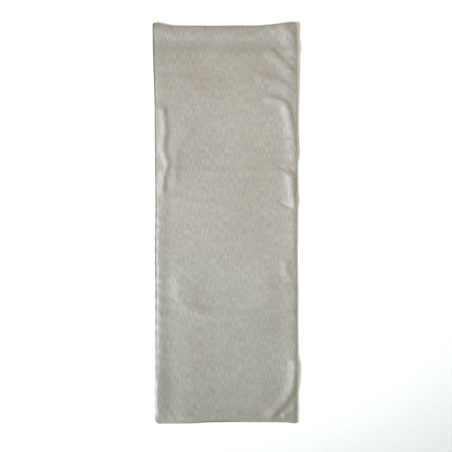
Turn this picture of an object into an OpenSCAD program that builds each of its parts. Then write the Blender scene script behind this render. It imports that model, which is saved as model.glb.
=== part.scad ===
// Table runner: a face cloth and a backing cloth, sewn together right sides in all
// round, turned through a gap left in one end seam, pressed, and closed by hand.
// It lies flat with the face up. X is across it, Y is along it, and Z = 0 is the table.

/* [Runner] */
// Finished width
runner_w = 330; // [200:5:500]
// Finished length
runner_l = 915; // [500:5:2000]

/* [Cloth] */
// Thickness of the face cloth
face_t = 0.5; // [0.3:0.05:1]
// Thickness of the backing cloth
backing_t = 0.5; // [0.3:0.05:1]

/* [Edges] */
// Width of the seam allowance turned inside along every edge
allowance = 15; // [8:1:25]
// Width of the band where the face cloth comes down from the edge to the middle
drop_w = 6; // [3:1:15]

/* [Stitching] */
// Thickness of the sewing thread
thread_t = 0.25; // [0.15:0.05:0.4]
// Longest machine stitch
stitch_l = 3; // [2:0.5:6]
// Longest hand stitch in the turning gap
hand_stitch_l = 5; // [3:0.5:10]

/* [Turning gap] */
// Width of the gap that the runner was turned through
gap_w = 80; // [40:5:120]
// Middle of the gap, from the middle of the end seam
gap_x = -20; // [-40:5:40]

/* [Hidden] */

// Clearance above and below a thread that lies inside a turned edge
thread_clear = 0.03;
// Clearance all round a thread where it passes through a cloth
hole_clear = 0.03;
// Clearance between the face cloth and the backing cloth
layer_gap = 0.05;
// Clearance between the needle thread and the bobbin thread where they lock
lock_gap = 0.02;
// Clearance between the last machine stitch and the first hand stitch
end_gap = 1;
// Cloth left between a stitch hole and the curve of the turned edge
hole_margin = 0.1;
// Number of sides of a full turn at an edge, and of a stitch hole
round_sides = 24;
// Overlap between the shapes that make up one solid
join = 0.01;

// Space between a cloth and its own allowance, which the thread lies in
turn_gap = thread_t + 2 * thread_clear;
turn_r = turn_gap / 2;

// Heights, from the table up
bobbin_z = backing_t + turn_r;
backing_top_z = 2 * backing_t + turn_gap;
face_low_z = backing_top_z + layer_gap;
lock_z = (backing_top_z + face_low_z) / 2;
needle_z = face_low_z + face_t + turn_r;
middle_z = backing_t + layer_gap;

// A stitch hole lets the corners of the square thread through
hole_d = thread_t * sqrt(2) + 2 * hole_clear;

// The seam line lies just inside the curve of the turned edges
seam_in = turn_r + max(face_t, backing_t) + hole_margin + hole_d / 2;
seam_x = runner_w / 2 - seam_in;
seam_y = runner_l / 2 - seam_in;
gap_left = gap_x - gap_w / 2;
gap_right = gap_x + gap_w / 2;
border_w = allowance + drop_w;

// Evenly spaced values from one to the other, at most so far apart
function spaced(from, to, step) =
    let (count = ceil(abs(to - from) / step))
    [for (i = [0 : count]) from + (to - from) * i / count];

// Corners of the machine seam, from one side of the gap round to the other
SEAM = [
    [gap_right, -seam_y], [seam_x, -seam_y], [seam_x, seam_y],
    [-seam_x, seam_y], [-seam_x, -seam_y], [gap_left, -seam_y]
];
LAST_RUN = len(SEAM) - 2;

// Length and heading of one straight run of the seam
function run_length(i) = norm(SEAM[i + 1] - SEAM[i]);
function run_heading(i) =
    let (span = SEAM[i + 1] - SEAM[i])
    atan2(span.y, span.x);

// Stitches along one run. A corner's stitch belongs to the run that starts there.
function run_stitches(i) =
    let (all = spaced(0, run_length(i), stitch_l))
    i == LAST_RUN ? all : [for (j = [0 : len(all) - 2]) all[j]];

// Stitches across the turning gap
HAND_STITCHES = spaced(gap_left + end_gap, gap_right - end_gap, hand_stitch_l);

// Section of the cloth where it turns round an edge: u runs in from the edge
module turn(t) {
    outer_r = turn_r + t;
    translate([outer_r, 0])
        difference() {
            circle(r = outer_r, $fn = round_sides);
            circle(r = turn_r, $fn = round_sides);
            translate([0, -outer_r]) square([outer_r, 2 * outer_r]);
        }
}

// Section of the outer cloth of an edge, and of its fall to the middle of the runner
module outer_cloth(t, fall) {
    start = turn_r + t - join;
    end = border_w + join;
    translate([0, turn_r])
        polygon([
            [start, 0], [allowance, 0], [border_w, -fall], [end, -fall],
            [end, t - fall], [border_w, t - fall], [allowance, t], [start, t]
        ]);
}

// One side of the border: a section drawn out along the edge and mitred at both ends
module border_side(length) {
    depth = border_w + join;
    intersection() {
        rotate([90, 0, 90])
            translate([0, 0, -length / 2]) linear_extrude(length) children();
        translate([0, 0, -depth])
            linear_extrude(2 * depth)
                polygon([
                    [-length / 2, 0], [length / 2, 0],
                    [length / 2 - depth, depth], [depth - length / 2, depth]
                ]);
    }
}

// All four sides of the border
module border() {
    for (side = [0, 180]) {
        rotate(side) translate([0, -runner_l / 2]) border_side(runner_w) children();
        rotate(side + 90) translate([0, -runner_w / 2]) border_side(runner_l) children();
    }
}

// Rectangle set in from the edges of the runner all round
module inset(by) {
    square([runner_w - 2 * by, runner_l - 2 * by], center = true);
}

// The allowance turned inside all round, with a hole for every stitch
module turned_allowance(t) {
    linear_extrude(t)
        difference() {
            inset(turn_r + t - join);
            inset(allowance);
            for (i = [0 : LAST_RUN])
                translate(SEAM[i])
                    rotate(run_heading(i))
                        for (s = run_stitches(i))
                            translate([s, 0]) circle(d = hole_d, $fn = round_sides);
            for (x = HAND_STITCHES)
                translate([x, -seam_y]) circle(d = hole_d, $fn = round_sides);
        }
}

// A cloth with its edges turned under it, measured up from the middle of the turn
module turned_cloth(t, middle_height) {
    union() {
        border() {
            turn(t);
            outer_cloth(t, turn_r - middle_height);
        }
        translate([0, 0, -turn_r - t]) turned_allowance(t);
        translate([0, 0, middle_height]) linear_extrude(t) inset(border_w);
    }
}

// Outline of a machine thread along one run: a bar with a leg down into every stitch
module thread_run(length, stitches, leg) {
    half = thread_t / 2;
    polygon(concat(
        [[length + half, half], [-half, half]],
        [
            for (s = stitches)
            each [[s - half, -half], [s - half, -leg], [s + half, -leg], [s + half, -half]]
        ],
        [[length + half, -half]]
    ));
}

// A machine thread all the way round, measured from its own height
module machine_thread(leg) {
    union()
        for (i = [0 : LAST_RUN])
            translate(SEAM[i])
                rotate([90, 0, run_heading(i)])
                    linear_extrude(thread_t, center = true)
                        thread_run(run_length(i), run_stitches(i), leg);
}

module face_panel() {
    color([0.70, 0.69, 0.65])
        translate([0, 0, needle_z]) turned_cloth(face_t, middle_z - needle_z);
}

module backing_panel() {
    color([0.66, 0.65, 0.60])
        translate([0, 0, bobbin_z]) mirror([0, 0, 1]) turned_cloth(backing_t, turn_r);
}

module seam_needle_thread() {
    color([0.80, 0.79, 0.74])
        translate([0, 0, needle_z]) machine_thread(needle_z - lock_z - lock_gap / 2);
}

module seam_bobbin_thread() {
    color([0.60, 0.59, 0.54])
        translate([0, 0, bobbin_z])
            mirror([0, 0, 1]) machine_thread(lock_z - bobbin_z - lock_gap / 2);
}

// The hand stitches run in the face's turned edge and the backing's by turns
module closing_thread() {
    half = thread_t / 2;
    color([0.45, 0.42, 0.36])
        translate([0, -seam_y, 0])
            rotate([90, 0, 0])
                linear_extrude(thread_t, center = true) {
                    for (i = [0 : len(HAND_STITCHES) - 2])
                        translate([
                            HAND_STITCHES[i] - half,
                            (i % 2 == 0 ? needle_z : bobbin_z) - half
                        ])
                            square([HAND_STITCHES[i + 1] - HAND_STITCHES[i] + thread_t, thread_t]);
                    for (x = HAND_STITCHES)
                        translate([x - half, bobbin_z - half])
                            square([thread_t, needle_z - bobbin_z + thread_t]);
                }
}

face_panel();
backing_panel();
seam_needle_thread();
seam_bobbin_thread();
closing_thread();
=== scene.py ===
"""Looks of the table runner: two cloths, their seam threads and the studio round them."""

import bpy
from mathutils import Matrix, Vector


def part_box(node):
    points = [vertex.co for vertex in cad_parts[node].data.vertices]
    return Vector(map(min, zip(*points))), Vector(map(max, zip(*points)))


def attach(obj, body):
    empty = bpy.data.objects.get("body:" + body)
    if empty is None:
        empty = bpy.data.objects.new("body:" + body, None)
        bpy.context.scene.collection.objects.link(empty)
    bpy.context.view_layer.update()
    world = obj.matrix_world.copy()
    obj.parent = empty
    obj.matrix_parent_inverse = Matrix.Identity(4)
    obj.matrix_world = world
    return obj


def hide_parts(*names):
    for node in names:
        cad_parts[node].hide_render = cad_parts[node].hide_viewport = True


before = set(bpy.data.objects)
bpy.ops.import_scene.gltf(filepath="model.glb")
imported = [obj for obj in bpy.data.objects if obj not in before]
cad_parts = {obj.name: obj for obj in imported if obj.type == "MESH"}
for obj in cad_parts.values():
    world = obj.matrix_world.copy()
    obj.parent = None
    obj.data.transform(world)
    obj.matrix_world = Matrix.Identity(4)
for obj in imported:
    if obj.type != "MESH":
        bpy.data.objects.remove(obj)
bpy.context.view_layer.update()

import copy
import math

import bpy
import numpy as np

MM = 0.001

# ---------------------------------------------------------------- sizes, in metres, from the CAD
FACE_LOW, FACE_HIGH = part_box("face_panel")
BACK_LOW, BACK_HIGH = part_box("backing_panel")
HAND_LOW, HAND_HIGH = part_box("closing_thread")
HALF_W = FACE_HIGH.x
HALF_L = FACE_HIGH.y
CLOTH_T = 0.5 * MM
ALLOWANCE = 15 * MM
DROP_W = 28 * MM
TURN_R = (BACK_HIGH.z - BACK_LOW.z) / 2
BACK_TURN_Z = BACK_LOW.z + TURN_R
FACE_TURN_Z = FACE_HIGH.z - TURN_R
FACE_MIDDLE_Z = FACE_LOW.z + CLOTH_T
LOCK_Z = (FACE_TURN_Z + BACK_TURN_Z) / 2
SEAM_IN = HALF_L + (HAND_LOW.y + HAND_HIGH.y) / 2
GAP_LEFT, GAP_RIGHT = HAND_LOW.x, HAND_HIGH.x
# how much higher the face's middle lies than if it were pressed onto the backing
MIDDLE_LOFT = 0.9 * MM
# the meshes are finest this far in from the edges
FINE_BAND = 28 * MM

# ---------------------------------------------------------------- stitches
STITCH = 3 * MM
HAND_STITCHES = 16
MACHINE_THREAD_R = 0.12 * MM
HAND_THREAD_R = 0.15 * MM
# how far each machine thread stops from the middle of a lock
LOCK_HALF_GAP = 0.06 * MM
# how far in from the finished edge the hand thread crosses from fold to fold
CROSSING_IN = 0.35 * MM

# ---------------------------------------------------------------- the settling simulation
GRID_STEP = 5 * MM
LAST_FRAME = 16
START_LIFT = 1.5 * MM
SEAM_BAND = 9 * MM
CLOTH_GAP = 1 * MM


# ---------------------------------------------------------------- small numeric helpers
def smooth(x, low, high):
    """0 below low, 1 above high, and a smooth step between."""
    t = np.clip((x - low) / (high - low), 0, 1)
    return t * t * (3 - 2 * t)


def bell(x, width):
    return np.exp(-((x / width) ** 2))


def value_noise(x, y, cell_x, cell_y, seed):
    """Smooth noise from -1 to 1 with one random value to each cell."""
    rng = np.random.default_rng(seed)
    table = rng.uniform(-1, 1, (64, 64))
    gx, gy = x / cell_x + 20.37, y / cell_y + 20.71
    ix, iy = np.floor(gx).astype(int), np.floor(gy).astype(int)
    fx, fy = gx - ix, gy - iy
    fx, fy = fx * fx * (3 - 2 * fx), fy * fy * (3 - 2 * fy)
    a, b = table[ix % 64, iy % 64], table[(ix + 1) % 64, iy % 64]
    c, d = table[ix % 64, (iy + 1) % 64], table[(ix + 1) % 64, (iy + 1) % 64]
    return (a * (1 - fx) + b * fx) * (1 - fy) + (c * (1 - fx) + d * fx) * fy


def along(points, steps=40):
    """A smooth line through the points, as evenly spaced samples."""
    p = np.array(points, float)
    if len(p) > 2:
        ends = np.vstack([2 * p[0] - p[1], p, 2 * p[-1] - p[-2]])
        line = []
        for i in range(len(p) - 1):
            p0, p1, p2, p3 = ends[i : i + 4]
            for t in np.linspace(0, 1, 12, endpoint=False):
                line.append(
                    0.5 * (2 * p1 + (p2 - p0) * t + (2 * p0 - 5 * p1 + 4 * p2 - p3) * t**2
                           + (3 * p1 - p0 - 3 * p2 + p3) * t**3)
                )
        p = np.vstack([line, p[-1]])
    reach = np.concatenate([[0], np.cumsum(np.linalg.norm(np.diff(p, axis=0), axis=1))])
    at = np.linspace(0, reach[-1], steps)
    return np.stack([np.interp(at, reach, p[:, k]) for k in (0, 1)], 1)


def fold(x, y, points, left, right, height, fade=0.25):
    """Height of a fold along a line. left and right are the widths of its two flanks, to the
    left and right of the way the line runs, and fade is the share of it that dies away at each end."""
    line = along([(a * MM, b * MM) for a, b in points])
    shape = x.shape
    x, y = x.ravel(), y.ravel()
    best = np.full(x.shape, np.inf)
    side = np.zeros(x.shape)
    place = np.zeros(x.shape)
    for i in range(len(line) - 1):
        a, d = line[i], line[i + 1] - line[i]
        t = np.clip(((x - a[0]) * d[0] + (y - a[1]) * d[1]) / (d @ d), 0, 1)
        px, py = x - a[0] - t * d[0], y - a[1] - t * d[1]
        r = px * px + py * py
        near = r < best
        best = np.where(near, r, best)
        side = np.where(near, d[0] * py - d[1] * px, side)
        place = np.where(near, (i + t) / (len(line) - 1), place)
    width = np.where(side > 0, left, right) * MM
    ends = smooth(place, 0, fade) * (1 - smooth(place, 1 - fade, 1)) if fade else 1
    return (height * MM * np.exp(-best / width**2) * ends).reshape(shape)


# ---------------------------------------------------------------- how the runner lies
def border_ripple(x, y):
    """The uneven ripple that the seam's puckers give the border, from -1 to 1."""
    return np.sin(2 * np.pi * y / (27 * MM) + 1.4 * value_noise(x, y, 1, 60 * MM, 5))


def outline_shift(x, y):
    """How the edges wander from straight lines: shifts in X and Y."""
    left = 1 - smooth(x, -HALF_W, -HALF_W + 90 * MM)
    right = smooth(x, HALF_W - 70 * MM, HALF_W)
    top = smooth(y, HALF_L - 75 * MM, HALF_L)
    bottom = 1 - smooth(y, -HALF_L, -HALF_L + 50 * MM)
    drawn_in = 4.8 * MM * (1 - smooth(y, 250 * MM, 440 * MM))
    dx = left * (drawn_in + 1.0 * MM * value_noise(x, y, 1, 90 * MM, 3))
    edge = 1 - smooth(x, -HALF_W, -HALF_W + 25 * MM)
    dx += edge * 0.5 * MM * border_ripple(x, y) * (1 - smooth(y, 0, 60 * MM))
    dx += right * (-0.9 * MM + 0.9 * MM * value_noise(x, y, 1, 110 * MM, 4))
    dip = smooth(x, -HALF_W - 4 * MM, -118 * MM) * (1 - smooth(x, 50 * MM, HALF_W + 6 * MM))
    dy = -top * 8.5 * MM * dip
    foot = smooth(x, -75 * MM, -20 * MM) * (1 - smooth(x, 140 * MM, HALF_W))
    dy += bottom * 2.6 * MM * foot
    dy += (top - bottom) * 0.5 * MM * value_noise(x, y, 45 * MM, 1, 6)
    return dx, dy


def broad_folds(x, y):
    """The soft folds that both cloths take together."""
    h = np.zeros_like(x)
    # roll along the top edge, the hollow behind it and the swell that follows
    top_in = HALF_L - y
    h += 3.0 * MM * bell(top_in - 13 * MM, 22 * MM)
    h += 3.0 * MM * smooth(top_in, 38 * MM, 76 * MM) * (1 - smooth(top_in, 100 * MM, 290 * MM))
    # drag folds that run down into the upper right edge, one below the other
    h += fold(x, y, [(126, 470), (146, 444), (161, 408), (165, 380)], 8, 26, 3.5, 0.15)
    h += fold(x, y, [(92, 404), (118, 380), (146, 352), (164, 336)], 8, 15, 2.4, 0.2)
    h += fold(x, y, [(66, 334), (112, 328), (146, 308), (164, 292)], 9, 20, 2.4, 0.2)
    # the last of them bends down and becomes a ridge along the edge
    ridge = [(84, 284), (116, 283), (142, 266), (154, 226), (160, 182), (164, 134)]
    h += fold(x, y, ridge, 7, 14, 3.3, 0.12)
    h += fold(x, y, [(153, 118), (155, 88), (163, 34)], 7, 12, 2.8, 0.12)
    # ridge along the left edge with a groove inside it, and a fan of slack beyond
    strip = [
        (-144, 272), (-141, 233), (-139, 202), (-144, 178), (-140, 155),
        (-134, 134), (-142, 110), (-145, 87), (-147, 58),
    ]
    h += fold(x, y, strip, 6.5, 10, 2.7, 0.09)
    h += fold(x, y, [(-66, 236), (-88, 200), (-112, 165), (-116, 110), (-124, 72)], 11, 26, 2.2, 0.2)
    # faint drag folds towards the upper left edge
    h += fold(x, y, [(-158, 288), (-112, 312), (-58, 330)], 12, 10, 1.3, 0.3)
    h += fold(x, y, [(-158, 346), (-128, 362), (-92, 372)], 10, 10, 1.0, 0.3)
    # the fold across the lower right corner, and a lesser one outside it
    corner = [(100, -456), (112, -434), (137, -408), (156, -376), (163, -340), (164, -300)]
    h += fold(x, y, corner, 14, 8, 4.2, 0.16)
    h += fold(x, y, [(128, -448), (151, -432), (166, -414)], 8, 6, 2.4, 0.2)
    # slack in the lower left corner, drawn down and to the right
    h += fold(x, y, [(-161, -338), (-160, -388), (-158, -430), (-156, -456)], 29, 6, 2.7, 0.2)
    h += fold(x, y, [(-98, -380), (-94, -425), (-88, -456)], 26, 18, 1.0, 0.25)
    h += fold(x, y, [(-110, -444), (-78, -446), (-40, -449)], 8, 8, 1.1, 0.3)
    # slack in the lower half
    h += fold(x, y, [(-140, -172), (-60, -203), (11, -212), (72, -192), (158, -144)], 14, 10, 1.4)
    h += fold(x, y, [(-112, -118), (-106, -150), (-120, -182)], 20, 20, 1.4, 0.4)
    h += fold(x, y, [(148, -84), (140, -104), (154, -130)], 8, 12, 1.8)
    h += 0.7 * MM * (1 + value_noise(x, y, 60 * MM, 85 * MM, 11))
    return h


def fine_creases(x, y):
    """Creases of the face cloth alone: storage creases, drag lines and puckers."""
    h = np.zeros_like(x)
    h += fold(x, y, [(-140, 122), (0, 119), (163, 122)], 4, 9, 0.6, 0.06)
    h += fold(x, y, [(-156, 56), (-96, 52), (-30, 42), (40, 24)], 9, 9, 0.7, 0.15)
    h += fold(x, y, [(-156, -180), (-110, -187), (-57, -186)], 7, 7, 0.6)
    h += fold(x, y, [(-95, -134), (-48, -104), (2, -71)], 4.5, 4.5, 0.8)
    h += fold(x, y, [(-82, -142), (-38, -116), (12, -84)], 4.5, 4.5, 0.7)
    h += fold(x, y, [(96, -138), (126, -134), (160, -112)], 5, 7, -1.0)
    h += fold(x, y, [(118, 130), (140, 124), (164, 121)], 6, 6, -1.0)
    h += fold(x, y, [(120, 52), (140, 40), (160, 33)], 5, 5, -1.1)
    h += fold(x, y, [(-46, 90), (-46, 76)], 7, 7, -0.8)
    h += fold(x, y, [(-32, -370), (-20, -386)], 4, 4, -0.5)
    # the left border swells between puckers
    crest = -HALF_W + 11 * MM
    flank = np.where(x > crest, 14 * MM, 7 * MM)
    swell = 1.0 * MM * (0.8 + 0.4 * border_ripple(x, y)) * bell(x - crest, flank)
    h += swell * (1 - smooth(y, 20 * MM, 70 * MM)) * smooth(y, -400 * MM, -330 * MM)
    # the right border rises to the very edge
    uneven = 0.75 + 0.35 * value_noise(x, y, 1, 40 * MM, 35)
    rise = 0.7 * MM * uneven * bell(HALF_W - 3 * MM - x, 13 * MM)
    h += rise * (1 - smooth(y, 90 * MM, 150 * MM))
    # short slanting puckers along the right edge, most of them beside the upper ridge
    slant = value_noise(x + 0.6 * y, y, 40 * MM, 8 * MM, 33)
    border = smooth(x, HALF_W - 20 * MM, HALF_W - 7 * MM)
    h += 0.7 * MM * slant * border * (0.5 + smooth(y, 60 * MM, 160 * MM))
    return h


class Field:
    """The shift of every point of the runner, on a grid that any plan point can be read from."""

    def __init__(self, step):
        self.nx = int(round(2 * HALF_W / step)) + 1
        self.ny = int(round(2 * HALF_L / step)) + 1
        self.gx = np.linspace(-HALF_W, HALF_W, self.nx)
        self.gy = np.linspace(-HALF_L, HALF_L, self.ny)
        x, y = np.meshgrid(self.gx, self.gy, indexing="ij")
        dx, dy = outline_shift(x, y)
        self.shift = np.stack([dx, dy, np.zeros_like(x)], -1)

    def at(self, x, y):
        """The shift there, by a smooth cubic through the sixteen points round it."""
        fx = np.clip((x + HALF_W) / (2 * HALF_W) * (self.nx - 1), 0, self.nx - 1.0001)
        fy = np.clip((y + HALF_L) / (2 * HALF_L) * (self.ny - 1), 0, self.ny - 1.0001)
        ix, iy = fx.astype(int), fy.astype(int)
        wx, wy = self.weights(fx - ix), self.weights(fy - iy)
        total = 0
        for i in range(4):
            for j in range(4):
                i_near = np.clip(ix + i - 1, 0, self.nx - 1)
                j_near = np.clip(iy + j - 1, 0, self.ny - 1)
                total = total + (wx[i] * wy[j])[..., None] * self.shift[i_near, j_near]
        return total

    def parted(self):
        """The same field for the face cloth, whose edge lies back a little where the closing
        stitches hold it, so that the edge of the backing shows there."""
        x, y = np.meshgrid(self.gx, self.gy, indexing="ij")
        middle, half = (GAP_LEFT + GAP_RIGHT) / 2, (GAP_RIGHT - GAP_LEFT) / 2
        held = 1 - smooth(np.abs(x - middle), half - 14 * MM, half)
        other = copy.copy(self)
        other.shift = self.shift.copy()
        other.shift[..., 1] += 1.4 * MM * held * (1 - smooth(y + HALF_L, 0, 16 * MM))
        return other

    def lift(self, height):
        """Adds a height, given as a function of the plan, to the whole field."""
        x, y = np.meshgrid(self.gx, self.gy, indexing="ij")
        self.shift[..., 2] += height(x, y)

    @staticmethod
    def weights(t):
        """The shares of four neighbours in a row at t between the middle two."""
        return (
            ((2 - t) * t - 1) * t / 2,
            ((3 * t - 5) * t * t + 2) / 2,
            ((4 - 3 * t) * t + 1) * t / 2,
            (t - 1) * t * t / 2,
        )


def settle(field):
    """A short cloth simulation. The sheet sinks to the table under its own weight while the
    seam draws its edges in, which puckers them."""
    n, m = field.nx, field.ny
    x, y = np.meshgrid(field.gx, field.gy, indexing="ij")
    start = np.stack([x, y, np.zeros_like(x)], -1) + field.shift
    start[..., 2] += START_LIFT
    grid = np.arange(n * m).reshape(n, m)
    sheet = add_mesh("settling_sheet", start.reshape(-1, 3), grid_quads(grid).tolist())
    inset = np.minimum(HALF_W - np.abs(x), HALF_L - np.abs(y)).ravel()
    seam = sheet.vertex_groups.new(name="seam")
    for i in np.nonzero(inset < SEAM_BAND)[0]:
        seam.add([int(i)], float(1 - inset[i] / SEAM_BAND), "REPLACE")
    table = add_mesh(
        "settling_table",
        [(-1, -1, 0), (1, -1, 0), (1, 1, 0), (-1, 1, 0)],
        [(0, 1, 2, 3)],
    )
    table.modifiers.new("Collision", "COLLISION")
    table.collision.thickness_outer = CLOTH_GAP
    table.collision.cloth_friction = 20
    cloth = sheet.modifiers.new("Cloth", "CLOTH")
    cloth.settings.quality = 5
    cloth.settings.mass = 0.15
    cloth.settings.tension_stiffness = cloth.settings.compression_stiffness = 15
    cloth.settings.shear_stiffness = 6
    cloth.settings.bending_stiffness = 10
    cloth.settings.air_damping = 2
    cloth.settings.vertex_group_shrink = "seam"
    cloth.settings.shrink_min = 0
    cloth.settings.shrink_max = 0.004
    cloth.collision_settings.distance_min = CLOTH_GAP
    cloth.collision_settings.use_self_collision = False
    cloth.point_cache.frame_start, cloth.point_cache.frame_end = 1, LAST_FRAME
    scene = bpy.context.scene
    for frame_no in range(1, LAST_FRAME + 1):
        scene.frame_set(frame_no)
    shape = sheet.evaluated_get(bpy.context.evaluated_depsgraph_get()).data
    end = np.zeros(n * m * 3, np.float32)
    shape.vertices.foreach_get("co", end)
    end = end.reshape(n, m, 3).astype(float)
    scene.frame_set(1)
    for ob in (sheet, table):
        bpy.data.objects.remove(ob)
    end[..., 2] -= end[..., 2].min()
    field.shift = end - np.stack([x, y, np.zeros_like(x)], -1)


# ---------------------------------------------------------------- meshes
def add_mesh(name, verts, faces):
    """A new object with this mesh, in the scene."""
    me = bpy.data.meshes.new(name)
    me.from_pydata([tuple(map(float, v)) for v in verts], [], faces)
    me.update()
    ob = bpy.data.objects.new(name, me)
    bpy.context.scene.collection.objects.link(ob)
    return ob


def grid_quads(grid):
    """The four-sided faces of a grid of point numbers."""
    return np.stack([grid[:-1, :-1], grid[1:, :-1], grid[1:, 1:], grid[:-1, 1:]], -1).reshape(-1, 4)


def stations(half, near, far, band):
    """Places across the runner, closer together in the bands along its edges."""
    steps = [0.0]
    while steps[-1] < half - TURN_R:
        steps.append(steps[-1] + near + (far - near) * float(smooth(steps[-1], band, 2 * band)))
    inset = np.array(steps) * (half - TURN_R) / steps[-1]
    return np.concatenate([inset - (half - TURN_R), (half - TURN_R) - inset[-2::-1]])


def round_corners(x, y):
    """Takes the sharp corners of the plan off. Each corner has its own radius."""
    out_x, out_y = x.copy(), y.copy()
    for sx, sy, r in ((-1, -1, 9), (1, -1, 4), (1, 1, 4), (-1, 1, 4)):
        r = r * MM
        p = 1 - (HALF_W - sx * x) / r
        q = 1 - (HALF_L - sy * y) / r
        here = (p > 0) & (q > 0)
        out_x = np.where(here, sx * (HALF_W - r + r * p * np.sqrt(np.clip(1 - q * q / 2, 0, 1))), out_x)
        out_y = np.where(here, sy * (HALF_L - r + r * q * np.sqrt(np.clip(1 - p * p / 2, 0, 1))), out_y)
    return out_x, out_y


def laid(x, y, z, field):
    """Where a point of the flat runner is once the runner lies on the table."""
    shift = field.at(x, y)
    rx, ry = round_corners(x, y)
    return np.stack([rx + shift[..., 0], ry + shift[..., 1], z + shift[..., 2]], -1)


def face_height(x, y):
    """Height of the face cloth over the backing's underside, away from its turned edges."""
    inset = np.minimum(HALF_W - np.abs(x), HALF_L - np.abs(y))
    uneven = 1.2 * MM * value_noise(x, y, 9 * MM, 9 * MM, 21)
    inside = smooth(inset + uneven, ALLOWANCE - 1 * MM, ALLOWANCE + DROP_W)
    z = FACE_HIGH.z + (FACE_MIDDLE_Z + MIDDLE_LOFT - FACE_HIGH.z) * inside
    free = smooth(inset, TURN_R, 8 * MM)
    puff = 0.5 - 0.25 * smooth(x, 0, HALF_W) + 0.2 * value_noise(x, y, 17 * MM, 17 * MM, 22)
    z = z + free * (1 - smooth(inset, 9 * MM, 36 * MM)) * MM * puff
    return z + fine_creases(x, y) * free


def panel_layer(xs, ys, sheet_z, turn_z, up, radius, field, turn_rows, fold_rows):
    """One surface of a cloth: the flat sheet, then on each side the turn and the allowance.
    Returns its points, its plan places on the cut cloth, its faces and its raw edge as one loop."""
    nx, ny = len(xs), len(ys)
    gx, gy = np.meshgrid(xs, ys, indexing="ij")
    points = [laid(gx, gy, sheet_z(gx, gy), field).reshape(-1, 3)]
    flat = [np.stack([gx, gy], -1).reshape(-1, 2)]
    grid = np.arange(nx * ny).reshape(nx, ny)
    faces = grid_quads(grid).tolist()
    angle = np.linspace(0, np.pi, turn_rows + 1)[1:]
    # each row's distance in from the finished edge, its height, and how far round the turn it is
    rows = [
        (TURN_R - radius * math.sin(a), turn_z + up * radius * math.cos(a), radius * a)
        for a in angle
    ]
    for i in range(1, fold_rows + 1):
        run = (ALLOWANCE - TURN_R) * i / fold_rows
        rows.append((TURN_R + run, turn_z - up * radius, radius * math.pi + run))
    sides = [
        (grid[:, 0], (0, -1)),
        (grid[-1, :], (1, 0)),
        (grid[::-1, -1], (0, 1)),
        (grid[0, ::-1], (-1, 0)),
    ]
    count = nx * ny
    strips = []
    for s, (edge, out) in enumerate(sides):
        px, py = gx.ravel()[edge], gy.ravel()[edge]
        half_out, half_along = (HALF_W, HALF_L) if out[0] else (HALF_L, HALF_W)
        a = py if out[0] else px
        zone = 30 * MM
        pull = np.clip((np.abs(a) - (half_along - TURN_R - zone)) / zone, 0, 1)
        table = [edge]
        for r, (inset, z, run) in enumerate(rows):
            a_row = np.sign(a) * (np.abs(a) + (TURN_R - inset) * pull)
            o_row = np.full_like(a, half_out - inset) * (out[0] + out[1])
            x, y = (o_row, a_row) if out[0] else (a_row, o_row)
            p = laid(x, y, np.full_like(x, z), field)
            reach = (half_out - TURN_R + run) * (out[0] + out[1])
            reach = np.full_like(a, reach)
            f = np.stack([reach, a] if out[0] else [a, reach], -1)
            ids = np.arange(count, count + len(edge))
            shared = r < turn_rows
            if shared and s > 0:
                corner_point = strips[s - 1][r + 1][-1]
                ids = np.concatenate([[corner_point], np.arange(count, count + len(edge) - 1)])
                p, f = p[1:], f[1:]
            if shared and s == 3:
                ids = np.concatenate([ids[:-1], [strips[0][r + 1][0]]])
                p, f = p[:-1], f[:-1]
            points.append(p)
            flat.append(f)
            count += len(p)
            table.append(ids)
        strips.append(table)
        for r in range(len(rows)):
            t0, t1 = table[r], table[r + 1]
            faces += [
                [int(t0[k]), int(t1[k]), int(t1[k + 1]), int(t0[k + 1])] for k in range(len(edge) - 1)
            ]
    loop = []
    for table in strips:
        loop += [int(t[0]) for t in table[turn_rows:]]
        loop += [int(i) for i in table[-1][1:-1]]
        loop += [int(t[-1]) for t in table[:turn_rows:-1]]
    return np.vstack(points), np.vstack(flat), faces, loop


def panel(name, sheet_z, turn_z, up, field, near, far_x, far_y, turn_rows, fold_rows):
    """A cloth with its edges turned in, 0.5 mm thick. Its hidden inner surface has half the lines."""
    xs = stations(HALF_W, near, far_x, FINE_BAND)
    ys = stations(HALF_L, near, far_y, FINE_BAND)
    outer = panel_layer(xs, ys, sheet_z, turn_z, up, TURN_R, field, turn_rows, fold_rows)
    inner = panel_layer(
        xs[::2], ys[::2], lambda x, y: sheet_z(x, y) - up * CLOTH_T,
        turn_z, up, TURN_R - CLOTH_T, field, turn_rows // 2, fold_rows // 2,
    )
    n = len(outer[0])
    faces = outer[2] + [[i + n for i in reversed(f)] for f in inner[2]]
    fine, coarse = outer[3], [i + n for i in inner[3]]
    assert len(fine) == 2 * len(coarse), (len(fine), len(coarse))
    for k in range(len(coarse)):
        f0, f1, f2 = fine[2 * k], fine[2 * k + 1], fine[(2 * k + 2) % len(fine)]
        c0, c1 = coarse[k], coarse[(k + 1) % len(coarse)]
        faces += [[f0, c0, f1], [f1, c0, c1], [f1, c1, f2]]
    if up < 0:
        faces = [list(reversed(f)) for f in faces]
    ob = add_mesh(name, np.vstack([outer[0], inner[0]]), faces)
    flat = np.vstack([outer[1], inner[1]])
    loops = np.zeros(len(ob.data.loops), int)
    ob.data.loops.foreach_get("vertex_index", loops)
    uv = ob.data.uv_layers.new(name="Cloth")
    uv.data.foreach_set("uv", flat[loops].astype(np.float32).ravel())
    ob.data.polygons.foreach_set("use_smooth", [True] * len(ob.data.polygons))
    return ob


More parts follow.
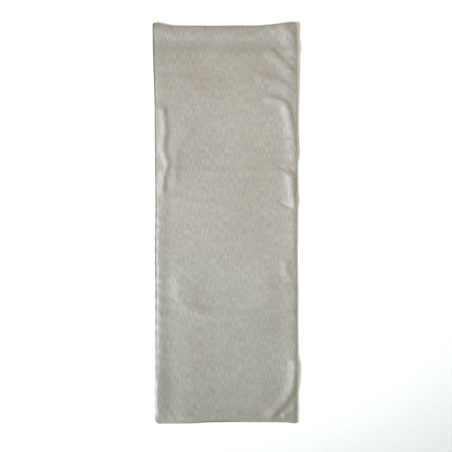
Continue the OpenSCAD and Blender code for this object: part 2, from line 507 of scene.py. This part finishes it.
def tube(name, path, radius, sides=6):
    """A thread along a path of points."""
    p = np.array(path, float)
    d = np.gradient(p, axis=0)
    d /= np.linalg.norm(d, axis=1)[:, None] + 1e-12
    side = np.cross(d, (0, 0, 1.0))
    flat_run = np.linalg.norm(side, axis=1) < 0.2
    side[flat_run] = np.cross(d[flat_run], (0.6, 0.8, 0))
    side /= np.linalg.norm(side, axis=1)[:, None]
    up = np.cross(side, d)
    ring = np.linspace(0, 2 * np.pi, sides, endpoint=False)
    cos, sin = np.cos(ring)[None, :, None], np.sin(ring)[None, :, None]
    verts = (p[:, None] + radius * (cos * side[:, None] + sin * up[:, None])).reshape(-1, 3)
    faces = []
    for i in range(len(p) - 1):
        for k in range(sides):
            a, b = i * sides + k, i * sides + (k + 1) % sides
            faces.append([a, b, b + sides, a + sides])
    faces.append([sides - 1 - k for k in range(sides)])
    faces.append([(len(p) - 1) * sides + k for k in range(sides)])
    ob = add_mesh(name, verts, faces)
    ob.data.polygons.foreach_set("use_smooth", [True] * len(ob.data.polygons))
    return ob


def seam_places(step):
    """Stitch places round the seam, from the right of the gap round to its left."""
    sx, sy = HALF_W - SEAM_IN, HALF_L - SEAM_IN
    corners = [
        (GAP_RIGHT + 1 * MM, -sy), (sx, -sy), (sx, sy),
        (-sx, sy), (-sx, -sy), (GAP_LEFT - 1 * MM, -sy),
    ]
    places = []
    for a, b in zip(corners, corners[1:]):
        n = math.ceil(math.dist(a, b) / step)
        places += [
            (a[0] + (b[0] - a[0]) * i / n, a[1] + (b[1] - a[1]) * i / n) for i in range(n)
        ]
    return places + [corners[-1]]


def machine_thread(name, z_run, z_lock, radius, field):
    """One thread of the lockstitch: it runs inside a turned edge and dips to the lock."""
    places = np.array(seam_places(STITCH))
    path = []
    for a, b in zip(places, places[1:]):
        for t, drop in ((0, 1), (0.12, 0.35), (0.3, 0), (0.7, 0), (0.88, 0.35)):
            path.append([*(a + (b - a) * t), z_run + (z_lock - z_run) * drop])
    path = np.array(path)
    return tube(name, laid(path[:, 0], path[:, 1], path[:, 2], field), radius)


def closing_thread(name, radius, field, face_field):
    """Slip stitches: the thread runs in the face's fold and the backing's by turns, and each
    crossing shows as a short bar in the groove of the edge."""
    places = np.linspace(GAP_LEFT, GAP_RIGHT, HAND_STITCHES + 1)
    y_in, y_out = -HALF_L + SEAM_IN, -HALF_L + CROSSING_IN
    path = []
    for i, (a, b) in enumerate(zip(places, places[1:])):
        z = FACE_TURN_Z if i % 2 == 0 else BACK_TURN_Z
        path += [
            (a, y_out, LOCK_Z), (a + 0.5 * MM, y_in, z), ((a + b) / 2, y_in, z), (b - 0.5 * MM, y_in, z)
        ]
    path = np.array(path + [(places[-1], y_out, LOCK_Z)])
    fine = np.linspace(0, len(path) - 1, 4 * len(path))
    x, y, z = (np.interp(fine, np.arange(len(path)), path[:, k]) for k in range(3))
    up = ((z - BACK_TURN_Z) / (FACE_TURN_Z - BACK_TURN_Z))[:, None]
    return tube(name, laid(x, y, z, field) * (1 - up) + laid(x, y, z, face_field) * up, radius)


# ---------------------------------------------------------------- materials
class Nodes:
    """Short forms for building a node tree."""

    def __init__(self, name):
        self.mat = bpy.data.materials.new(name)
        self.mat.use_nodes = True
        self.tree = self.mat.node_tree
        self.bsdf = self.tree.nodes["Principled BSDF"]

    def new(self, kind, inputs=(), **settings):
        node = self.tree.nodes.new(kind)
        for key, value in settings.items():
            setattr(node, key, value)
        for key, value in dict(inputs).items():
            if isinstance(value, bpy.types.NodeSocket):
                self.tree.links.new(value, node.inputs[key])
            elif value is not None:
                node.inputs[key].default_value = value
        return node

    def math(self, operation, a, b=None, c=None):
        return self.new("ShaderNodeMath", {0: a, 1: b, 2: c}, operation=operation).outputs[0]

    def mapped(self, x, y, scale_x, scale_y, shift=0.0):
        """A coordinate from two numbers, each with its own scale."""
        sx = self.math("MULTIPLY_ADD", x, scale_x, shift)
        sy = self.math("MULTIPLY_ADD", y, scale_y, shift * 1.7)
        return self.new("ShaderNodeCombineXYZ", {0: sx, 1: sy}).outputs[0]

    def noise(self, vector, scale=1.0, detail=2.0, rough=0.5):
        node = self.new(
            "ShaderNodeTexNoise",
            {"Vector": vector, "Scale": scale, "Detail": detail, "Roughness": rough},
            noise_dimensions="2D",
        )
        return node.outputs[0]

    def spread(self, value, low, high, to_low=0.0, to_high=1.0):
        """The value carried from the range low..high to another range, and held inside it."""
        return self.new(
            "ShaderNodeMapRange",
            {"Value": value, "From Min": low, "From Max": high, "To Min": to_low, "To Max": to_high},
            clamp=True,
        ).outputs[0]

    def fade(self, value, low, high):
        """A smooth step from 0 at low to 1 at high."""
        return self.new(
            "ShaderNodeMapRange",
            {"Value": value, "From Min": low, "From Max": high},
            interpolation_type="SMOOTHSTEP",
        ).outputs[0]

    def mix(self, factor, low, high, **settings):
        """A colour between two, or their blend."""
        return self.new(
            "ShaderNodeMix", {"Factor": factor, 6: low, 7: high}, data_type="RGBA", **settings
        ).outputs[2]

    def dyed(self, colour, factor, low, high):
        """The colour multiplied by a tint between two."""
        tint = self.mix(factor, (*low, 1), (*high, 1))
        return self.mix(1.0, colour, tint, blend_type="MULTIPLY")

    def scaled(self, colour, factor):
        return self.new("ShaderNodeVectorMath", {0: colour, 3: factor}, operation="SCALE").outputs[0]


def shaded(tone, share):
    """A tone with a share of its red, green and blue, as a colour with its alpha."""
    return (*[t * s for t, s in zip(tone, share)], 1)


def cloth_material(name, tone, pitch, warmth, seed):
    """Plain-woven cloth with uneven yarns. Its pattern lies on the cut cloth, so that it
    follows every fold and turn."""
    n = Nodes(name)
    uv = n.new("ShaderNodeSeparateXYZ", {0: n.new("ShaderNodeUVMap", uv_map="Cloth").outputs[0]})
    x, y = uv.outputs[0], uv.outputs[1]
    m = n.math
    # the yarns wander a little
    wander_x = n.noise(n.mapped(x, y, 30, 12, seed), detail=1)
    wander_y = n.noise(n.mapped(x, y, 12, 30, seed + 5), detail=1)
    u = m("DIVIDE", m("MULTIPLY_ADD", wander_x, 1.5 * pitch, x), pitch)
    v = m("DIVIDE", m("MULTIPLY_ADD", wander_y, 1.5 * pitch, y), pitch)
    row, column = m("FLOOR", v), m("FLOOR", u)
    warp_round = m("ABSOLUTE", m("SINE", m("MULTIPLY", u, math.pi)))
    weft_round = m("ABSOLUTE", m("SINE", m("MULTIPLY", v, math.pi)))
    warp_wave = m("SINE", m("MULTIPLY", m("ADD", v, column), math.pi))
    weft_wave = m("MULTIPLY", m("SINE", m("MULTIPLY", m("ADD", u, row), math.pi)), -1.0)
    # thick and thin places: long along each yarn, one yarn wide
    thick_warp = n.noise(n.mapped(x, y, 620, 34, seed + 11), detail=2, rough=0.6)
    thick_weft = n.noise(n.mapped(x, y, 34, 620, seed + 17), detail=2, rough=0.6)
    warp_crown = m("MULTIPLY_ADD", warp_wave, 0.5, warp_round)
    weft_crown = m("MULTIPLY_ADD", weft_wave, 0.5, weft_round)
    warp = m("MULTIPLY", warp_crown, m("MULTIPLY_ADD", thick_warp, 0.7, 0.65))
    weft = m("MULTIPLY", weft_crown, m("MULTIPLY_ADD", thick_weft, 0.5, 0.7))
    weave = m("SMOOTH_MAX", warp, weft, 0.2)
    slub = m("MULTIPLY_ADD", thick_warp, 0.75, m("MULTIPLY", thick_weft, 0.25))
    # short dashes along the warp, fainter ones along the weft, and clouds of tone
    dash = n.noise(n.mapped(x, y, 560, 70, seed + 23), detail=3, rough=0.6)
    bar = n.noise(n.mapped(x, y, 45, 330, seed + 29), detail=2, rough=0.6)
    cloud = n.noise(n.mapped(x, y, 9, 9, seed + 31), detail=3, rough=0.55)
    tint = n.noise(n.mapped(x, y, 330, 30, seed + 27), detail=2, rough=0.6)
    patch = n.noise(n.mapped(x, y, 40, 32, seed + 33), detail=2, rough=0.5)
    grain = n.noise(n.mapped(x, y, 950, 520, seed + 37), detail=2, rough=0.7)
    # painted shade: the base colour is darker in the hollows between the yarns; the factors below vary
    # the tone at random
    shade_and_tone = m("MULTIPLY_ADD", n.spread(weave, 0.1, 1.5), 0.14, 0.86)
    for value, low, high, depth in (
        (slub, 0.3, 0.7, 0.06), (dash, 0.32, 0.68, 0.20), (bar, 0.3, 0.7, 0.035),
        (cloud, 0.3, 0.7, 0.03), (patch, 0.3, 0.7, 0.02), (grain, 0.28, 0.72, 0.13),
    ):
        shade_and_tone = m("MULTIPLY", shade_and_tone, n.spread(value, low, high, 1 - depth, 1 + depth))
    fleck = n.spread(n.noise(n.mapped(x, y, 700, 150, seed + 41), detail=1), 0.74, 0.84)
    deep = n.spread(m("MULTIPLY_ADD", cloud, 0.5, m("MULTIPLY", slub, 0.5)), 0.3, 0.7)
    yarn = n.mix(deep, shaded(tone, warmth), (*tone, 1))
    yarn = n.mix(m("MULTIPLY", fleck, 0.35), yarn, shaded(tone, (0.55, 0.47, 0.38)))
    # some of the warp is a little pink, some a little green, in streaks and in clouds
    tint = m("MULTIPLY_ADD", tint, 0.7, m("MULTIPLY", cloud, 0.3))
    yarn = n.dyed(yarn, n.spread(tint, 0.38, 0.62), (1.022, 0.989, 1.008), (0.978, 1.011, 0.986))
    # and some of it is a little blue or a little straw-coloured
    dye = n.noise(n.mapped(x, y, 520, 60, seed + 51), detail=2, rough=0.6)
    yarn = n.dyed(yarn, n.spread(dye, 0.36, 0.64), (1.0, 0.999, 0.967), (1.0, 1.001, 1.033))
    # its colour drifts from a little pink at the far end to a little green at the near end
    drift = m("ADD", m("MULTIPLY_ADD", x, 0.41, y), m("MULTIPLY_ADD", cloud, 120 * MM, -60 * MM))
    drift = n.fade(drift, -190 * MM, 30 * MM)
    yarn = n.dyed(yarn, drift, (0.989, 1.009, 1.0), (1.012, 0.991, 0.998))
    # painted shade: the turn of the edge is painted darker and warmer than the sheet, for the shade
    # where the edge rolls down, most of all along the far part of the left edge and least along the
    # right edge
    wobble = n.noise(n.mapped(x, y, 120, 120, seed + 47), detail=1)
    uneven = m("MULTIPLY_ADD", wobble, 2.4 * MM, -1.2 * MM)
    from_side = m("ADD", m("SUBTRACT", HALF_W, m("ABSOLUTE", x)), uneven)
    from_end = m("ADD", m("SUBTRACT", HALF_L, m("ABSOLUTE", y)), uneven)
    on_left = m("MULTIPLY", m("LESS_THAN", x, 0.0), n.spread(y, -330 * MM, -110 * MM, 0.2, 1.0))
    left_edge_shade = m("MULTIPLY", n.spread(from_side, 3.2 * MM, 4.6 * MM, 1.0, 0.0), on_left)
    right_edge_shade = n.spread(from_side, 0.2 * MM, 2.2 * MM, 0.3, 0.0)
    end_edge_shade = n.spread(from_end, 0.2 * MM, 2.2 * MM, 0.65, 0.0)
    painted_edge_shade = m("MAXIMUM", left_edge_shade, m("MAXIMUM", right_edge_shade, end_edge_shade))
    # painted shade: the near end is painted browner along the closing gap, for the shade in the groove
    # where the face's edge lies back
    middle, half = (GAP_LEFT + GAP_RIGHT) / 2 - 8 * MM, (GAP_RIGHT - GAP_LEFT) / 2 + 20 * MM
    from_middle = m("ABSOLUTE", m("SUBTRACT", x, middle))
    from_near_end = m("ADD", m("ADD", y, HALF_L), uneven)
    painted_gap_shade = m(
        "MULTIPLY",
        n.spread(from_middle, half - 12 * MM, half + 8 * MM, 1.0, 0.0),
        n.spread(from_near_end, 1.5 * MM, 4.0 * MM, 1.0, 0.0),
    )
    # painted shade in the groove at the closing gap
    yarn = n.mix(m("MULTIPLY", painted_gap_shade, 0.85), yarn, shaded(tone, (0.62, 0.45, 0.33)))
    # the painted edge shade goes on last, darkening and warming the turned edges
    yarn = n.mix(painted_edge_shade, yarn, shaded(tone, (0.44, 0.36, 0.26)))
    n.tree.links.new(n.scaled(yarn, shade_and_tone), n.bsdf.inputs["Base Color"])
    n.tree.links.new(n.spread(weave, 0.1, 1.5, 0.48, 0.36), n.bsdf.inputs["Roughness"])
    n.bsdf.inputs["Specular IOR Level"].default_value = 1.0
    n.bsdf.inputs["Sheen Weight"].default_value = 0.12
    n.bsdf.inputs["Sheen Roughness"].default_value = 0.5
    # relief, in metres: yarns, thick places, and the slight waviness of a pressed cloth
    waviness = n.noise(n.mapped(x, y, 60, 38, seed + 43), detail=2, rough=0.5)
    relief = m("MULTIPLY", weave, 0.10 * MM)
    relief = m("MULTIPLY_ADD", slub, 0.14 * MM, relief)
    relief = m("MULTIPLY_ADD", dash, 0.16 * MM, relief)
    relief = m("MULTIPLY_ADD", waviness, 0.30 * MM, relief)
    bump = n.new("ShaderNodeBump", {"Height": relief, "Strength": 1.0, "Distance": 1.0})
    n.tree.links.new(bump.outputs[0], n.bsdf.inputs["Normal"])
    return n.mat


def thread_material(name, tone):
    """Twisted sewing thread: fine slanting plies and a little fuzz."""
    n = Nodes(name)
    place = n.new("ShaderNodeTexCoord").outputs["Object"]
    ply = n.new(
        "ShaderNodeTexWave", {"Vector": place, "Scale": 2600, "Distortion": 1.5, "Detail": 2},
        bands_direction="DIAGONAL",
    ).outputs["Fac"]
    fuzz = n.new("ShaderNodeTexNoise", {"Vector": place, "Scale": 5000, "Detail": 2}).outputs[0]
    # painted shade: the base colour is darker in the grooves between the plies, and the fuzz varies the
    # tone at random
    shade_and_tone = n.math("MULTIPLY", n.spread(ply, 0, 1, 0.82, 1.06), n.spread(fuzz, 0.3, 0.7, 0.92, 1.05))
    n.tree.links.new(n.scaled(tone, shade_and_tone), n.bsdf.inputs["Base Color"])
    n.tree.links.new(n.spread(ply, 0, 1, 0.75, 0.55), n.bsdf.inputs["Roughness"])
    n.bsdf.inputs["Sheen Weight"].default_value = 0.15
    height = n.math("MULTIPLY", n.math("MULTIPLY_ADD", fuzz, 0.3, ply), 0.02 * MM)
    bump = n.new("ShaderNodeBump", {"Height": height, "Strength": 1.0, "Distance": 1.0})
    n.tree.links.new(bump.outputs[0], n.bsdf.inputs["Normal"])
    return n.mat


# ---------------------------------------------------------------- the runner
field = Field(GRID_STEP)
settle(field)
field.lift(broad_folds)

face_field = field.parted()
face = panel("face_cloth", face_height, FACE_TURN_Z, 1, face_field, 1.7 * MM, 2.7 * MM, 2.3 * MM, 8, 4)
back = panel(
    "backing_cloth", lambda x, y: np.zeros_like(x), BACK_TURN_Z, -1, field,
    2.5 * MM, 5 * MM, 5 * MM, 8, 4,
)
needle = machine_thread(
    "needle_thread_stitches", FACE_TURN_Z, LOCK_Z + LOCK_HALF_GAP, MACHINE_THREAD_R, face_field
)
bobbin = machine_thread(
    "bobbin_thread_stitches", BACK_TURN_Z, LOCK_Z - LOCK_HALF_GAP, MACHINE_THREAD_R, field
)
hand = closing_thread("hand_stitches", HAND_THREAD_R, field, face_field)

FACE_TONE, FACE_PITCH, FACE_WARMTH = (0.312, 0.288, 0.252), 1.15 * MM, (0.93, 0.915, 0.88)
BACK_TONE, BACK_PITCH, BACK_WARMTH = (0.38, 0.365, 0.32), 1.0 * MM, (0.94, 0.93, 0.90)
face_weave = cloth_material("face_weave", FACE_TONE, FACE_PITCH, FACE_WARMTH, 1.0)
backing_weave = cloth_material("backing_weave", BACK_TONE, BACK_PITCH, BACK_WARMTH, 61.0)
needle_ply = thread_material("needle_thread_ply", (0.50, 0.48, 0.42))
bobbin_ply = thread_material("bobbin_thread_ply", (0.42, 0.40, 0.34))
hand_ply = thread_material("hand_thread_ply", (0.26, 0.21, 0.15))
PIECES = (
    (face, "face_panel", "face_cloth", face_weave),
    (back, "backing_panel", "backing_cloth", backing_weave),
    (needle, "seam_needle_thread", "needle_thread", needle_ply),
    (bobbin, "seam_bobbin_thread", "bobbin_thread", bobbin_ply),
    (hand, "closing_thread", "hand_thread", hand_ply),
)
for ob, node, slot, material in PIECES:
    ob.data.materials.append(material)
    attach(ob, "root")
    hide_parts(node)

# ---------------------------------------------------------------- the studio
FLOOR_HALF, FLOOR_DROP = 6, 0.2 * MM
FADE_FROM, FADE_TO = 0.7, 1.25
corners = [(FLOOR_HALF * sx, FLOOR_HALF * sy) for sx, sy in ((-1, -1), (1, -1), (1, 1), (-1, 1))]
floor = add_mesh("floor", [(*corner, 0) for corner in corners], [(0, 1, 2, 3)])
floor.location.z = -FLOOR_DROP
n = Nodes("floor_paper")
tooth = n.new("ShaderNodeTexNoise", {"Scale": 900, "Detail": 2}).outputs[0]
paper = n.scaled((0.95, 0.95, 0.95), n.spread(tooth, 0.3, 0.7, 0.99, 1.01))
n.tree.links.new(paper, n.bsdf.inputs["Base Color"])
n.bsdf.inputs["Roughness"].default_value = 0.9
n.bsdf.inputs["Specular IOR Level"].default_value = 0.1
# the paper fades into the pale room well away from the runner
place = n.new("ShaderNodeTexCoord").outputs["Object"]
out_from = n.new("ShaderNodeVectorMath", {0: place}, operation="LENGTH").outputs["Value"]
clear = n.new("ShaderNodeBsdfTransparent").outputs[0]
away = n.fade(out_from, FADE_FROM, FADE_TO)
faded = n.new("ShaderNodeMixShader", {0: away, 1: n.bsdf.outputs[0], 2: clear})
n.tree.links.new(faded.outputs[0], n.tree.nodes["Material Output"].inputs[0])
floor.data.materials.append(n.mat)


def area_light(name, place, target, size, power, colour, spread):
    """A soft box at a place, turned towards the target. Its spread is in degrees."""
    light = bpy.data.lights.new(name, "AREA")
    light.shape, light.size, light.size_y = "RECTANGLE", *size
    light.energy, light.color, light.spread = power, colour, math.radians(spread)
    ob = bpy.data.objects.new(name, light)
    bpy.context.scene.collection.objects.link(ob)
    ob.location = place
    way = np.array(target, float) - np.array(place, float)
    ob.rotation_euler = (math.acos(-way[2] / np.linalg.norm(way)), 0, math.atan2(-way[0], way[1]))
    return ob


SOFT_BOX = (1.2, 1.2)
area_light("key", (-1.4, -0.38, 1.1), (0.2, 0.14, 0), SOFT_BOX, 11.6, (0.82, 0.92, 1.0), 56)
area_light("warm_fill", (0.9, 0.75, 1.5), (0, 0.3, 0), SOFT_BOX, 2.9, (1.0, 0.895, 0.80), 100)
area_light("cool_fill", (0.6, -1.1, 1.3), (0, -0.3, 0), SOFT_BOX, 0.75, (0.74, 1.0, 0.96), 100)
# the room is pale and bright low down, warmer and dimmer overhead
LOW_ROOM, HIGH_ROOM = (0.88, 0.87, 0.85, 1), (0.285, 0.262, 0.196, 1)
world = bpy.data.worlds.new("studio")
world.use_nodes = True
tree = world.node_tree
back_light = tree.nodes["Background"]
way = tree.nodes.new("ShaderNodeTexCoord")
split = tree.nodes.new("ShaderNodeSeparateXYZ")
rise = tree.nodes.new("ShaderNodeMapRange")
rise.interpolation_type = "SMOOTHSTEP"
rise.inputs["From Min"].default_value, rise.inputs["From Max"].default_value = 0.12, 0.42
room = tree.nodes.new("ShaderNodeMix")
room.data_type = "RGBA"
room.inputs[6].default_value = LOW_ROOM
room.inputs[7].default_value = HIGH_ROOM
tree.links.new(way.outputs["Generated"], split.inputs[0])
tree.links.new(split.outputs[2], rise.inputs["Value"])
tree.links.new(rise.outputs[0], room.inputs["Factor"])
tree.links.new(room.outputs[2], back_light.inputs[0])
bpy.context.scene.world = world
bpy.context.scene.view_settings.view_transform = "Standard"

camera = bpy.data.objects.new("camera", bpy.data.cameras.new("camera"))
bpy.context.scene.collection.objects.link(camera)
SENSOR_W = 36
CAMERA_Z = 3.2
FRAME_W, FRAME_Z = 1.032, 2 * MM
camera.data.sensor_width = SENSOR_W
camera.data.lens = SENSOR_W * (CAMERA_Z - FRAME_Z) / FRAME_W
camera.location = (2.3 * MM, -6.8 * MM, CAMERA_Z)
bpy.context.scene.camera = camera
